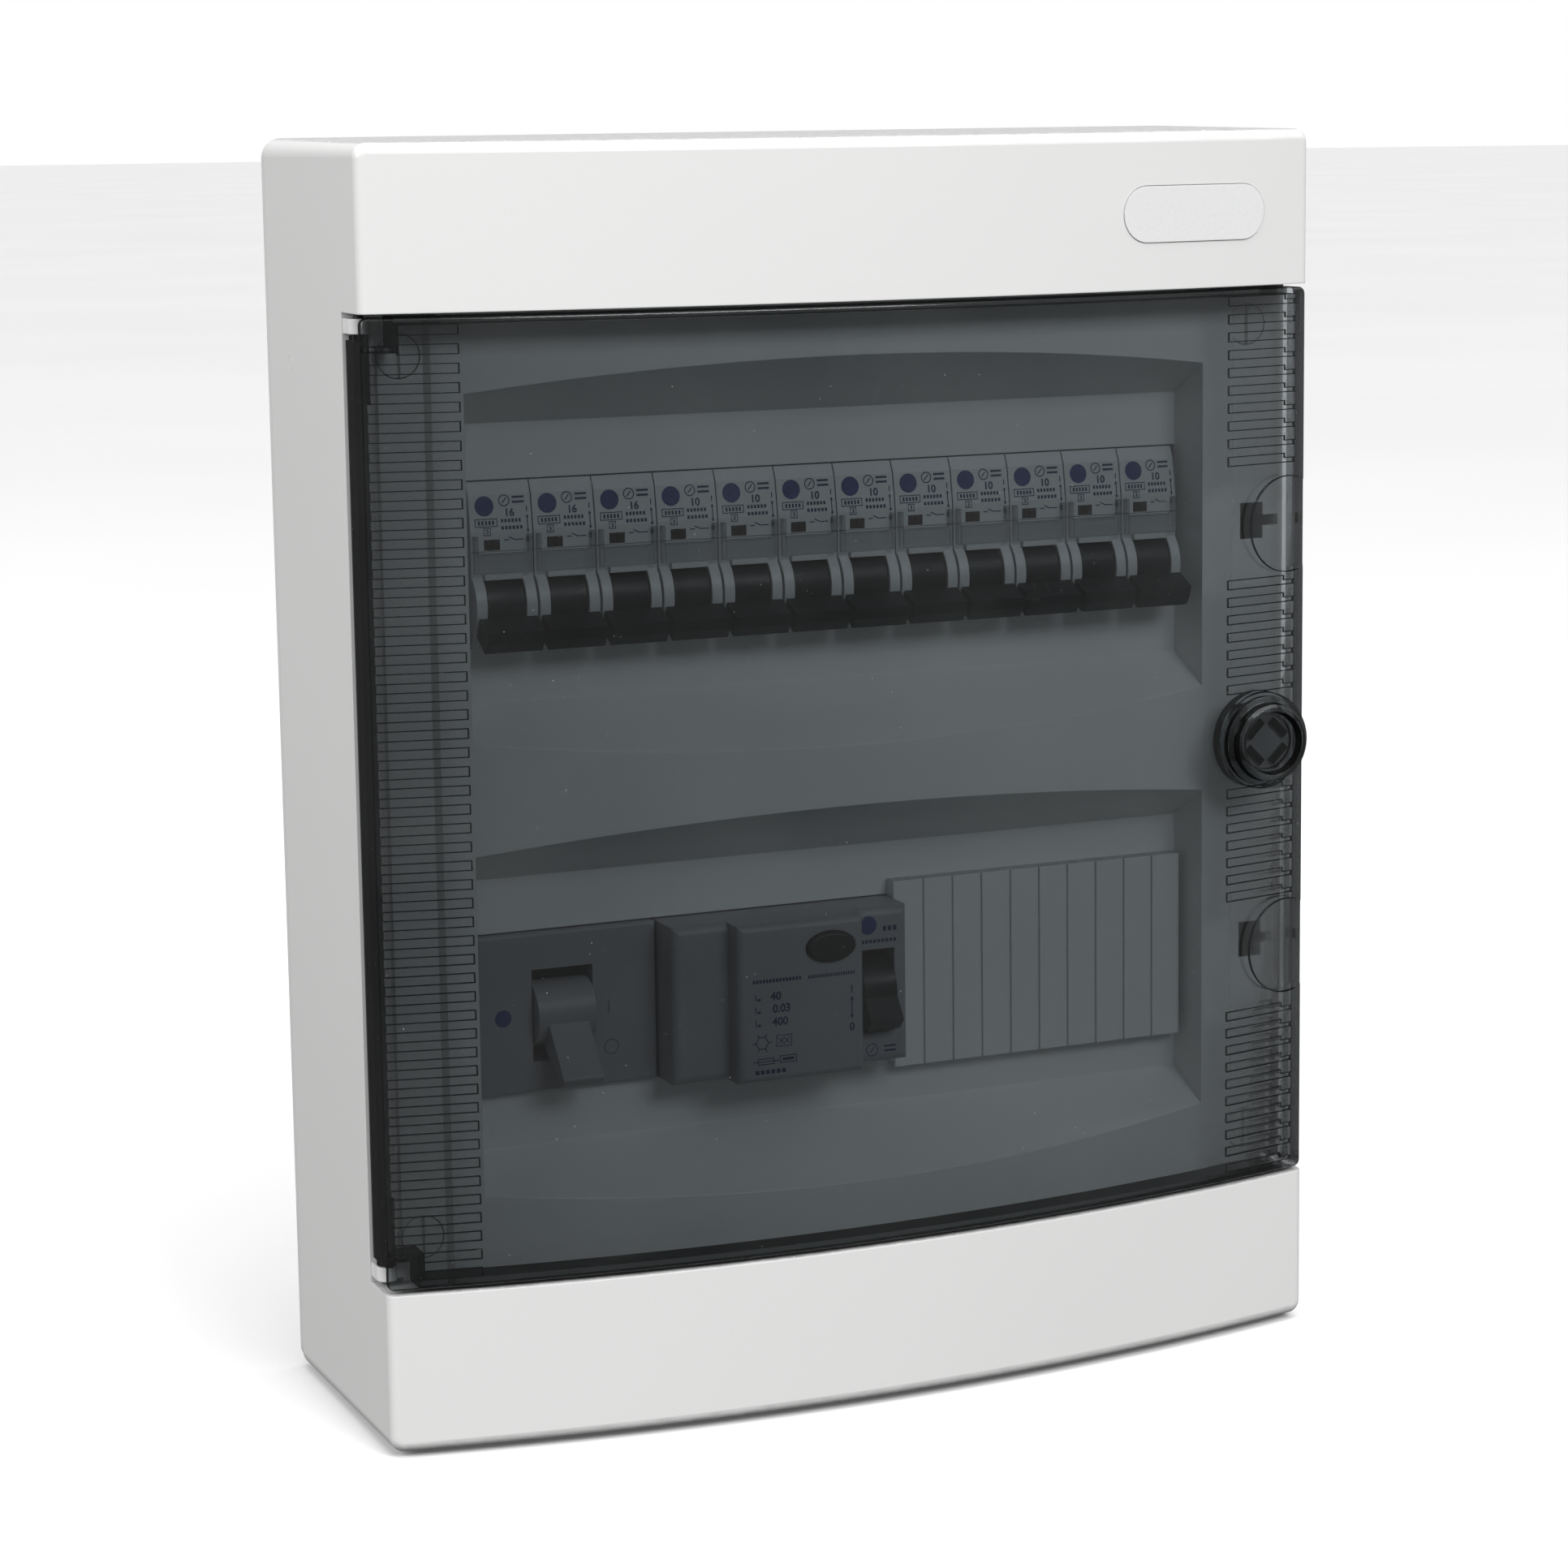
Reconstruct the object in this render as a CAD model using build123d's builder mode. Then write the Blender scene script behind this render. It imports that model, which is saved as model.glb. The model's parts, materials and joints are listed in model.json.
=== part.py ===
"""Surface-mounted two-row breaker panel box, built as separate pieces.

Frame: the wall plane is Y = 0 and the front faces -Y, +X is to the right seen from the front,
+Z is up, and the origin is the centre of the back face. A "depth" is a distance in front of the
wall, so a point at depth d has Y = -d. All lengths are millimetres.
"""
from build123d import *
from math import cos, radians, sin, sqrt, tan
import os

os.makedirs("parts", exist_ok=True)

# ---------------------------------------------------------------- driving dimensions
box_width = 284.0           # across the front edges
box_height = 352.0
side_depth = 88.0           # wall to the front edge at either side
front_bulge = 16.0          # how far the middle of the front stands out further
corner_radius = 5.0
draft_angle = 0.8           # degrees, on the cover's four sides
wall = 2.5

module_width = 18.0         # one standard rail device
modules_per_row = 12
row_offset = 62.5           # each device row above and below the middle
window_height = 45.5
window_width = 219.0

rail_front = 22.0           # depth of the rail's front flanges
shoulder_depth = 64.0       # top of a device's shoulders, behind the cover
floor_depth = 67.5          # floor of the recess around each window

# ---------------------------------------------------------------- derived dimensions
half_width = box_width / 2
half_height = box_height / 2
rows = (row_offset, -row_offset)
front_radius = (half_width**2 + front_bulge**2) / (2 * front_bulge)
front_depth = side_depth + front_bulge
curve_axis_y = front_radius - front_depth     # vertical axis that all the bowed skins share

rim_depth = 3.6             # thickness of the base's visible rim
cover_rear = 4.0            # depth of the cover's rear edge
draft_per_side = (side_depth - cover_rear) * tan(radians(draft_angle))
rear_width = box_width + 2 * draft_per_side
rear_height = box_height + 2 * draft_per_side

# door bay in the cover
bay_half_height = 131.8
plate_inset = 13.5          # bowed plate behind the front skin
plate_half_width = 122.6
margin_depth = 76.6         # flat margins each side of the bowed plate
margin_start = 124.0
left_plate_end = 120.2      # the left margin is wider than the right one
left_margin_start = 121.6
left_margin_end = 134.2
right_margin_end = 140.6
gutter_depth = 72.5         # channel that the door's side flanges drop into

# recess around each window
pan_half_width = 109.7
pan_half_height = 38.15
pan_slope_z = 0.69          # rise of the sloped walls per unit of depth
pan_slope_x = 0.155

# door
door_gap = 1.0
door_inset = 0.7
door_skin = 2.2
door_half_width = 141.6
door_half_height = bay_half_height - door_gap
flange_thickness = 2.0
side_flange_rear = 73.6
free_flange_rear = 80.5     # the flange at the free edge is shallower
flange_reach = 10.0         # how far the top and bottom flanges reach behind the front
hinge_x = -139.0
hinge_depth = 77.0
hinge_pin_radius = 1.4
hinge_notch_low = 124.6     # the door's side flange ends here, top and bottom
ear_low = 126.3             # the cover's hinge ears lie between these heights, top and bottom
ear_high = 130.3
rib_pitch = 5.1
rib_height = 2.6
rib_relief = 0.5
rib_count = 51

# door lock
lock_x = 125.5
seat_depth = 92.3
knob_radius = 13.2
stem_radius = 3.0

# cover screws
screw_x = 128.3
screw_z = 120.0
screw_head_radius = 5.8


def block(x_range, depth_range, z_range, mode=Mode.ADD):
    """A box between two X values, two depths and two Z values."""
    middle = (sum(x_range) / 2, -sum(depth_range) / 2, sum(z_range) / 2)
    spans = [abs(span[1] - span[0]) for span in (x_range, depth_range, z_range)]
    with Locations(middle):
        Box(*spans, mode=mode)


def round_along_depth(x, z, radius, depth_range, mode=Mode.ADD):
    """A cylinder whose axis runs along the depth direction."""
    middle = (x, -sum(depth_range) / 2, z)
    with Locations(Location(middle, (90, 0, 0))):
        Cylinder(radius, abs(depth_range[1] - depth_range[0]), mode=mode)


def round_along_x(x_range, depth, z, radius, mode=Mode.ADD):
    """A cylinder whose axis runs along X."""
    with Locations(Location((sum(x_range) / 2, -depth, z), (0, 90, 0))):
        Cylinder(radius, abs(x_range[1] - x_range[0]), mode=mode)


def round_along_z(x, depth, radius, z_range, mode=Mode.ADD):
    """A cylinder whose axis is vertical."""
    with Locations((x, -depth, sum(z_range) / 2)):
        Cylinder(radius, abs(z_range[1] - z_range[0]), mode=mode)


def bowed_body(inset, mode):
    """The tall round body whose front is the bowed front skin, set back by inset."""
    with Locations((0, curve_axis_y, 0)):
        Cylinder(front_radius - inset, 2 * box_height, mode=mode)


def bowed_depth(x, inset):
    """Depth of the bowed skin, set back by inset, at a given X."""
    return sqrt((front_radius - inset) ** 2 - x**2) - curve_axis_y


def save(piece, name):
    """Label a finished piece and write it as one STEP file."""
    piece.label = name
    export_step(piece, "parts/" + name + ".step")


# ================================================================ base box
tray_half_width = rear_width / 2 - wall - 0.6
tray_half_height = rear_height / 2 - wall - 0.6
tray_depth = 46.0
tray_wall = 2.2
pillar_radius = 5.2
pillar_front = shoulder_depth
anchor_x = 100.0            # wall-screw holes
anchor_z = 140.0
anchor_radius = 2.75
knockouts = ((-72, 138, 12), (-36, 138, 12), (0, 138, 16), (36, 138, 12), (72, 138, 12))

with BuildPart() as base_box:
    with BuildSketch(Plane.XZ):
        RectangleRounded(rear_width - 1.0, rear_height - 1.0, corner_radius)
    extrude(amount=rim_depth)
    with BuildSketch(Plane.XZ.offset(rim_depth)):
        RectangleRounded(2 * tray_half_width, 2 * tray_half_height, corner_radius - wall)
    extrude(amount=tray_depth - rim_depth)
    with BuildSketch(Plane.XZ.offset(wall)):
        Rectangle(2 * (tray_half_width - tray_wall), 2 * (tray_half_height - tray_wall))
    extrude(amount=tray_depth, mode=Mode.SUBTRACT)
    for x in (-screw_x, screw_x):
        for z in (-screw_z, screw_z):
            round_along_depth(x, z, pillar_radius, (wall - 0.5, pillar_front))
            round_along_depth(x, z, 2.6, (18, pillar_front), Mode.SUBTRACT)
    for x in (-anchor_x, anchor_x):
        for z in (-anchor_z, anchor_z):
            round_along_depth(x, z, 8.0, (wall - 0.5, 6.0))
            round_along_depth(x, z, anchor_radius, (0, 6.0), Mode.SUBTRACT)
    for x, z, radius in knockouts:
        for side in (-1, 1):
            with BuildSketch(Plane.XZ):
                with Locations((x, side * z)):
                    Circle(radius + 0.8)
                    Circle(radius, mode=Mode.SUBTRACT)
            extrude(amount=1.2, mode=Mode.SUBTRACT)
    for x in (-60, 0, 60):
        block((x - 0.9, x + 0.9), (wall - 0.5, 9.0), (-88, -70))
        block((x - 0.9, x + 0.9), (wall - 0.5, 9.0), (70, 88))
save(base_box.part, "base_box")

# ================================================================ front cover
with BuildPart() as bay:
    with BuildSketch(Plane.XY.offset(-bay_half_height)):
        with BuildLine():
            plate_side = -bowed_depth(plate_half_width, plate_inset)
            left_plate_side = -bowed_depth(left_plate_end, plate_inset)
            ThreePointArc(
                (-left_plate_end, left_plate_side),
                (0, -bowed_depth(0, plate_inset)),
                (plate_half_width, plate_side),
            )
            Polyline(
                (plate_half_width, plate_side),
                (margin_start, -margin_depth),
                (right_margin_end, -margin_depth),
                (right_margin_end, -gutter_depth),
                (box_width, -gutter_depth),
                (box_width, -2 * side_depth),
                (-box_width, -2 * side_depth),
                (-box_width, -gutter_depth),
                (-left_margin_end, -gutter_depth),
                (-left_margin_end, -margin_depth),
                (-left_margin_start, -margin_depth),
                (-left_plate_end, left_plate_side),
            )
        make_face()
    extrude(amount=2 * bay_half_height)


def pan_half_sizes(depth, thickness):
    """Half width and half height of a recess at one depth, grown by a wall thickness."""
    reach = depth - floor_depth + thickness
    return (
        pan_half_width + reach * pan_slope_x + 0.6 * thickness,
        pan_half_height + reach * pan_slope_z + 0.3 * thickness,
    )


pan_mouth = 96.0
with BuildPart() as pans:
    for row in rows:
        for depth in (floor_depth, pan_mouth):
            half_x, half_z = pan_half_sizes(depth, 0)
            with BuildSketch(Plane.XZ.offset(depth)):
                with Locations((0, row)):
                    Rectangle(2 * half_x, 2 * half_z)
        loft(ruled=True)

with BuildPart() as pan_shells:
    for row in rows:
        for depth in (floor_depth - wall, pan_mouth):
            half_x, half_z = pan_half_sizes(depth, wall)
            with BuildSketch(Plane.XZ.offset(depth)):
                with Locations((0, row)):
                    Rectangle(2 * half_x, 2 * half_z)
        loft(ruled=True)

inner_half_width = half_width - wall
inner_half_height = half_height - wall
cavity_front = floor_depth - wall

with BuildPart() as bay_cavity:
    with BuildSketch(Plane.XY.offset(-inner_half_height)):
        with BuildLine():
            inner_side = -bowed_depth(plate_half_width, plate_inset + wall)
            left_inner_side = -bowed_depth(left_plate_end, plate_inset + wall)
            ThreePointArc(
                (-left_plate_end, left_inner_side),
                (0, -bowed_depth(0, plate_inset + wall)),
                (plate_half_width, inner_side),
            )
            Polyline(
                (plate_half_width, inner_side),
                (margin_start, wall - margin_depth),
                (right_margin_end - wall, wall - margin_depth),
                (right_margin_end - wall, wall - gutter_depth),
                (inner_half_width, wall - gutter_depth),
                (inner_half_width, -cavity_front),
                (-inner_half_width, -cavity_front),
                (-inner_half_width, wall - gutter_depth),
                (wall - left_margin_end, wall - gutter_depth),
                (wall - left_margin_end, wall - margin_depth),
                (-left_margin_start, wall - margin_depth),
                (-left_plate_end, left_inner_side),
            )
        make_face()
    extrude(amount=2 * inner_half_height)
    add(pan_shells.part, mode=Mode.SUBTRACT)

with BuildPart() as band_cavities:
    for side in (-1, 1):
        low = side * (bay_half_height + wall)
        high = side * inner_half_height
        block((-inner_half_width, inner_half_width), (cavity_front - 1, 2 * side_depth), (low, high))
    bowed_body(wall, Mode.INTERSECT)

badge_x = 100.5
badge_z = 152.9
badge_width = 49.5
badge_height = 16.0
badge_sink = 0.8

with BuildPart() as badge_pocket:
    with BuildSketch(Plane.XZ.offset(side_depth - 5)):
        with Locations((badge_x, badge_z)):
            SlotOverall(badge_width, badge_height)
    extrude(amount=2 * front_bulge)
    bowed_body(badge_sink, Mode.SUBTRACT)

boss_radius = 6.5
slot_half_width = 3.7
slot_half_height = 8.6
latch_start = 126.5         # T-shaped latch slots: the crossbar runs to the neck, then the stem
latch_neck = 134.0
latch_end = 139.0
latch_bar_half_height = 5.3
latch_stem_half_height = 1.6

with BuildPart() as front_cover:
    with BuildSketch(Plane.XZ.offset(cover_rear)):
        RectangleRounded(rear_width, rear_height, corner_radius)
    extrude(amount=front_depth, taper=draft_angle)
    bowed_body(0, Mode.INTERSECT)
    front_skin = front_cover.faces().filter_by(GeomType.CYLINDER).sort_by(SortBy.AREA)[-1]
    fillet(front_skin.edges(), radius=3.0)
    add(bay.part, mode=Mode.SUBTRACT)
    with BuildSketch(Plane.XZ.offset(cover_rear)):
        RectangleRounded(rear_width - 2 * wall, rear_height - 2 * wall, corner_radius - wall)
    extrude(amount=cavity_front - cover_rear, taper=draft_angle, mode=Mode.SUBTRACT)
    add(bay_cavity.part, mode=Mode.SUBTRACT)
    add(band_cavities.part, mode=Mode.SUBTRACT)
    add(pans.part, mode=Mode.SUBTRACT)
    add(badge_pocket.part, mode=Mode.SUBTRACT)
    # shelves at the top and bottom of the door bay
    for side in (-1, 1):
        shelf = (side * bay_half_height, side * (bay_half_height + wall))
        block((-inner_half_width, inner_half_width), (cavity_front, side_depth - 4), shelf)
    # windows for the two device rows
    for row in rows:
        window = (row - window_height / 2, row + window_height / 2)
        block((-window_width / 2, window_width / 2), (60, 70), window, Mode.SUBTRACT)
    # wells for the cover screws
    for x in (-screw_x, screw_x):
        for z in (-screw_z, screw_z):
            round_along_depth(x, z, boss_radius, (pillar_front, margin_depth - 0.5))
            round_along_depth(x, z, screw_head_radius + 0.3, (margin_depth - 3.4, 90), Mode.SUBTRACT)
            round_along_depth(x, z, 3.3, (50, 90), Mode.SUBTRACT)
    # hinge ears with their bores
    for side in (-1, 1):
        ear = (side * ear_low, side * ear_high)
        block((-half_width + 0.2, -left_margin_end + 1), (gutter_depth - 1, hinge_depth), ear)
        round_along_z(hinge_x, hinge_depth, half_width - 0.2 + hinge_x, ear)
        round_along_z(hinge_x, hinge_depth, hinge_pin_radius + 0.06, ear, Mode.SUBTRACT)
    # slot that the lock's cam turns behind, and the two T-shaped latch slots
    lock_slot = (-slot_half_height, slot_half_height)
    block((lock_x - slot_half_width, lock_x + slot_half_width), (60, 90), lock_slot, Mode.SUBTRACT)
    for row in rows:
        crossbar = (row - latch_bar_half_height, row + latch_bar_half_height)
        stem = (row - latch_stem_half_height, row + latch_stem_half_height)
        block((latch_start, latch_neck), (cavity_front, 90), crossbar, Mode.SUBTRACT)
        block((latch_neck, latch_end), (cavity_front + 8, 90), stem, Mode.SUBTRACT)
save(front_cover.part, "front_cover")

# ================================================================ badge inlay
with BuildPart() as badge_plate:
    with BuildSketch(Plane.XZ.offset(side_depth - 5)):
        with Locations((badge_x, badge_z)):
            SlotOverall(badge_width - 0.3, badge_height - 0.3)
    extrude(amount=2 * front_bulge)
    bowed_body(badge_sink, Mode.SUBTRACT)
    bowed_body(-0.25, Mode.INTERSECT)
save(badge_plate.part, "badge_plate")

# ================================================================ door
skin_inner = door_inset + door_skin
pad_x = 135.5
pad_radius = 14.0
pocket_x = -131.3
pocket_z = 121.5
pocket_wall = 1.5
pin_low = 110.0

inner_z = door_half_height - flange_thickness
inner_x = door_half_width - flange_thickness
left_rib_end = -116.0
right_rib_start = 114.5
first_rib = 127.4
front_clear = 110.0         # in front of everything on the door

with BuildPart() as door_ribs:
    for index in range(rib_count):
        z = first_rib - index * rib_pitch
        rib = (z - rib_height / 2, z + rib_height / 2)
        near_pad = min(abs(z - row) for row in rows) < pad_radius + 1
        if abs(z) < pocket_z - 1:
            block((-inner_x, left_rib_end), (margin_depth, front_clear), rib)
        else:
            block((pocket_x - 0.5, left_rib_end), (margin_depth, front_clear), rib)
        if not near_pad and abs(z) > knob_radius + 1:
            block((right_rib_start, pad_x), (margin_depth, front_clear), rib)
            block((pad_x - 0.5, inner_x), (margin_depth, front_clear), (z - rib_height / 2, z))
    bowed_body(skin_inner - 0.3, Mode.INTERSECT)
    bowed_body(skin_inner + rib_relief, Mode.SUBTRACT)

with BuildPart() as door_hollow:
    block((-inner_x, inner_x), (60, front_clear), (-inner_z, inner_z))
    bowed_body(skin_inner, Mode.INTERSECT)

with BuildPart() as flange_trim:
    block((-inner_x, inner_x), (60, front_clear), (-half_height, half_height))
    bowed_body(door_inset + flange_reach, Mode.INTERSECT)

with BuildPart() as hinge_notches:
    for side in (-1, 1):
        notch = (side * hinge_notch_low, side * half_height)
        block((-half_width - 1, pocket_x - pocket_wall), (60, front_clear), notch)
    bowed_body(skin_inner, Mode.INTERSECT)

with BuildPart() as finger_pads:
    for row in rows:
        round_along_depth(pad_x, row, pad_radius, (60, front_clear))
    bowed_body(door_inset + 0.7, Mode.SUBTRACT)

with BuildPart() as door:
    with BuildSketch(Plane.XZ.offset(side_flange_rear)):
        RectangleRounded(2 * door_half_width, 2 * door_half_height, 2.0)
    extrude(amount=40)
    bowed_body(door_inset, Mode.INTERSECT)
    door_skin_face = door.faces().filter_by(GeomType.CYLINDER).sort_by(SortBy.AREA)[-1]
    fillet(door_skin_face.edges(), radius=1.0)
    add(door_hollow.part, mode=Mode.SUBTRACT)
    add(flange_trim.part, mode=Mode.SUBTRACT)
    add(hinge_notches.part, mode=Mode.SUBTRACT)
    free_side = (inner_x - 0.1, half_width)
    block(free_side, (60, free_flange_rear), (-half_height, half_height), Mode.SUBTRACT)
    for side in (-1, 1):
        edge = side * (door_half_height - 0.5)
        pocket_rear = margin_depth + 2.2
        upright = (pocket_x - pocket_wall, pocket_x)
        block(upright, (pocket_rear, 87.0), (side * pocket_z, edge))
        floor = (side * pocket_z, side * (pocket_z + pocket_wall))
        block((-inner_x - 0.2, pocket_x), (pocket_rear, 86.4), floor)
        barrel = (side * (pin_low - 2), side * (ear_low - 0.4))
        round_along_z(hinge_x, hinge_depth, door_half_width + hinge_x, barrel)
        bore = (side * pin_low, side * ear_low)
        round_along_z(hinge_x, hinge_depth, hinge_pin_radius, bore, Mode.SUBTRACT)
    add(finger_pads.part, mode=Mode.SUBTRACT)
    # round flat seat under the lock knob
    seat_radius = knob_radius + 0.9
    round_along_depth(lock_x, 0, seat_radius, (87.5, seat_depth))
    round_along_depth(lock_x, 0, seat_radius, (seat_depth, front_clear), Mode.SUBTRACT)
    round_along_depth(lock_x, 0, stem_radius + 0.4, (60, front_clear), Mode.SUBTRACT)
    add(door_ribs.part)
save(door.part, "door")

with BuildPart() as hinge_pins:
    for side in (-1, 1):
        pin = (side * pin_low, side * (ear_high + 0.9))
        round_along_z(hinge_x, hinge_depth, hinge_pin_radius, pin)
    fillet(hinge_pins.edges().filter_by(GeomType.CIRCLE), radius=0.4)
save(hinge_pins.part, "hinge_pins")

# ================================================================ door lock
knob_rear = seat_depth + 0.35
knob_shoulder = knob_rear + 1.9
knob_front = knob_rear + 5.8
dish_floor = knob_rear + 3.2
cup_floor = knob_rear + 1.7

with BuildPart() as door_lock_knob:
    with BuildSketch(Plane.XY):
        with BuildLine():
            Polyline(
                (lock_x, -cup_floor),
                (lock_x + 8.2, -cup_floor),
                (lock_x + 8.2, -knob_rear),
                (lock_x + knob_radius, -knob_rear),
                (lock_x + knob_radius, -knob_shoulder),
                (lock_x + 11.6, -knob_shoulder - 0.5),
                (lock_x + 11.2, -knob_front + 0.8),
                (lock_x + 10.4, -knob_front),
                (lock_x + 9.3, -knob_front),
                (lock_x + 8.6, -dish_floor),
                (lock_x, -dish_floor),
                close=True,
            )
        make_face()
    revolve(axis=Axis((lock_x, 0, 0), (0, 1, 0)))
save(door_lock_knob.part, "door_lock_knob")

cam_front = margin_depth - wall - 0.6
cam_rear = cam_front - 3.0
with BuildPart() as door_lock_cam:
    round_along_depth(lock_x, 0, 7.9, (knob_rear, knob_rear + 0.7))
    round_along_depth(lock_x, 0, stem_radius, (cam_rear, knob_rear + 0.3))
    block((lock_x - 2.8, lock_x + 2.8), (cam_rear, cam_front), (-7.6, 7.6))
    with BuildSketch(Plane.XZ.offset(knob_rear + 0.6)):
        with Locations((lock_x, 0)):
            with PolarLocations(5.4, 4, start_angle=45):
                Rectangle(2.2, 6.6)
    extrude(amount=cup_floor - knob_rear - 0.6)
save(door_lock_cam.part, "door_lock_cam")

# ================================================================ cover screws
with BuildPart() as cover_screws:
    head_rear = margin_depth - 3.4
    head_front = margin_depth - 0.2
    for x in (-screw_x, screw_x):
        for z in (-screw_z, screw_z):
            round_along_depth(x, z, screw_head_radius, (head_rear, head_front))
            round_along_depth(x, z, 2.5, (40, head_rear + 0.5))
            block((x - 0.55, x + 0.55), (head_front - 1.3, head_front + 1), (z - 7, z + 7), Mode.SUBTRACT)
save(cover_screws.part, "cover_screws")

# ================================================================ rails and their brackets
rail_half_length = 117.0
rail_rear = rail_front - 7.5
rail_gauge = 1.0
bracket_inner = 111.0
bracket_outer = 123.0
bracket_half_height = 92.0


def rail_profile(row):
    """Corners of the 35 mm top-hat rail section, as points in the YZ plane."""
    upper = (
        (-rail_rear, 13.5),
        (-rail_front + rail_gauge, 13.5),
        (-rail_front + rail_gauge, 17.5),
        (-rail_front, 17.5),
        (-rail_front, 12.5),
        (-rail_rear - rail_gauge, 12.5),
    )
    lower = tuple((y, -z) for y, z in reversed(upper))
    return [(y, row + z) for y, z in upper + lower]


for name, row in (("din_rail_upper", row_offset), ("din_rail_lower", -row_offset)):
    with BuildPart() as din_rail:
        with BuildSketch(Plane.YZ.offset(-rail_half_length)):
            with BuildLine():
                Polyline(*rail_profile(row), close=True)
            make_face()
        extrude(amount=2 * rail_half_length)
        for x in (-bracket_inner - 4, -60, 0, 60, bracket_inner + 4):
            round_along_depth(x, row, 2.7, (10, 20), Mode.SUBTRACT)
    save(din_rail.part, name)

for name, side in (("rail_bracket_left", -1), ("rail_bracket_right", 1)):
    with BuildPart() as rail_bracket:
        span = (side * bracket_inner, side * bracket_outer)
        block(span, (wall, rail_rear), (-bracket_half_height, bracket_half_height))
        hollow = (side * (bracket_inner + 2), side * (bracket_outer - 2))
        for low, high in ((-48, -2), (2, 48), (76, 90), (-90, -76)):
            block(hollow, (wall + 2, rail_rear), (low, high), Mode.SUBTRACT)
        for row in rows:
            round_along_depth(side * (bracket_inner + 4), row, 2.1, (wall + 1, rail_rear), Mode.SUBTRACT)
    save(rail_bracket.part, name)

with BuildPart() as rail_screws:
    for side in (-1, 1):
        for row in rows:
            x = side * (bracket_inner + 4)
            head = rail_rear + rail_gauge
            round_along_depth(x, row, 4.0, (head, head + 2.6))
            round_along_depth(x, row, 2.0, (wall + 2, head + 0.5))
            block((x - 0.5, x + 0.5), (head + 1.6, head + 4), (row - 5, row + 5), Mode.SUBTRACT)
save(rail_screws.part, "rail_screws")

# ================================================================ circuit breakers
breaker_width = module_width - 0.3
body_half_height = 41.0
nose_half_height = 22.4
nose_front = 71.2
clearance = 0.4
drum_depth = 64.5
drum_drop = -11.5           # toggle axis below the row's middle
drum_radius = 9.5
drum_half_width = 5.3
cheek_radius = 10.4
axle_radius = 1.5
axle_fit = 0.06             # radial clearance of every toggle's axle
well_z = 31.0
well_radius = 2.9


def device_profile(nose):
    """Side profile of a rail device, in the YZ plane, around a row's middle.

    nose lists the corners (depth, z) of the part that shows through the window, from the top.
    """
    rear = (
        (rail_front + clearance, 17.9),
        (rail_front - 1.4, 17.9),
        (rail_front - 1.4, 16.0),
        (rail_front - 4.5, 16.0),
        (rail_front - 4.5, 24.0),
        (rail_front + 5.0, body_half_height),
        (shoulder_depth, body_half_height),
        (shoulder_depth, nose_half_height),
    )
    mirrored = tuple((depth, -z) for depth, z in reversed(rear))
    return [(-depth, z) for depth, z in rear + tuple(nose) + mirrored]


breaker_nose = (
    (68.0, nose_half_height),
    (69.6, 19.0),
    (nose_front, 9.0),
    (nose_front, -20.0),
    (69.4, -nose_half_height),
)
toggle_axis_z = row_offset + drum_drop

with BuildPart() as breaker_body:
    with BuildSketch(Plane.YZ.offset(-breaker_width / 2)):
        with BuildLine():
            Polyline(*[(y, z + row_offset) for y, z in device_profile(breaker_nose)], close=True)
        make_face()
    extrude(amount=breaker_width)
    # cheeks each side of the toggle's drum
    pocket_half = drum_half_width + 0.3
    for side in (-1, 1):
        cheek = (side * pocket_half, side * (breaker_width / 2 - 0.2))
        round_along_x(cheek, drum_depth, toggle_axis_z, cheek_radius)
    slot = (-pocket_half, pocket_half)
    round_along_x(slot, drum_depth, toggle_axis_z, drum_radius + clearance, Mode.SUBTRACT)
    bearing = (-7.4, 7.4)
    round_along_x(bearing, drum_depth, toggle_axis_z, axle_radius + axle_fit, Mode.SUBTRACT)
    # indicator window, label groove and the bar under the label holder
    block((-5.0, -0.5), (nose_front - 0.9, 75), (row_offset + 3.9, row_offset + 6.8), Mode.SUBTRACT)
    groove = (row_offset + 3.3, row_offset + 3.7)
    block((-9, 9), (nose_front - 0.4, 75), groove, Mode.SUBTRACT)
    block((-5.4, 5.4), (nose_front - 0.2, 72.6), (row_offset - 4.0, row_offset - 2.5))
    # terminal wells in the shoulders and cable slots in the ends
    for side in (-1, 1):
        round_along_depth(0, row_offset + side * well_z, well_radius, (46, 70), Mode.SUBTRACT)
        mouth = (row_offset + side * 26, row_offset + side * (body_half_height + 1))
        block((-4.2, 4.2), (37, 47), mouth, Mode.SUBTRACT)

throw_rest = -28.0          # degrees from level, at rest in the off position
nose_inner = 11.0
nose_outer = 18.6
nose_half_angle = 15.0


def around_axis(depth, z, radius, angle):
    """A point in the YZ plane at a radius and angle from level, in front of an axis."""
    return (-depth - radius * cos(radians(angle)), z + radius * sin(radians(angle)))


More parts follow.
